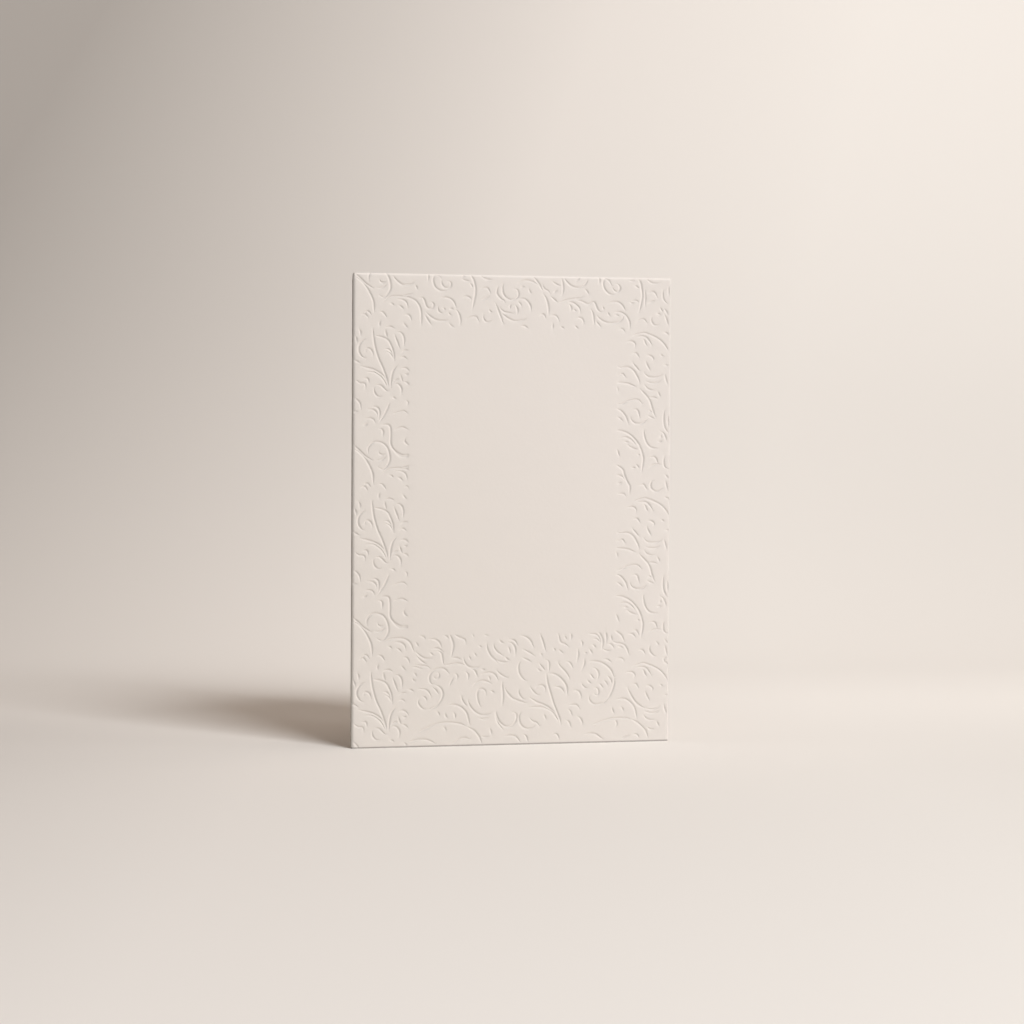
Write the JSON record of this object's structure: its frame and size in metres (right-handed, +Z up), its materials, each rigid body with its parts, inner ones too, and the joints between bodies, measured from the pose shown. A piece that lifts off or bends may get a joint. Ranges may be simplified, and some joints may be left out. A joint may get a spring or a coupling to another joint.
{
  "type": "wedding invitation card",
  "caption": "Folded paper invitation card standing half open, its front leaf bordered with sunk scrollwork round a plain panel.",
  "frame": {"origin": "centre of the bounding box, at the height of the surface the card stands on", "axes": "+Z up along the fold, +X from the fold towards the front leaf's free edge, +Y from the front leaf back towards the rear leaf"},
  "size_m": [0.127, 0.0828, 0.178],
  "materials": {
    "card": "soft uncoated ivory cotton card"
  },
  "bodies": {
    "root": {"card": "card"}
  },
  "joints": []
}
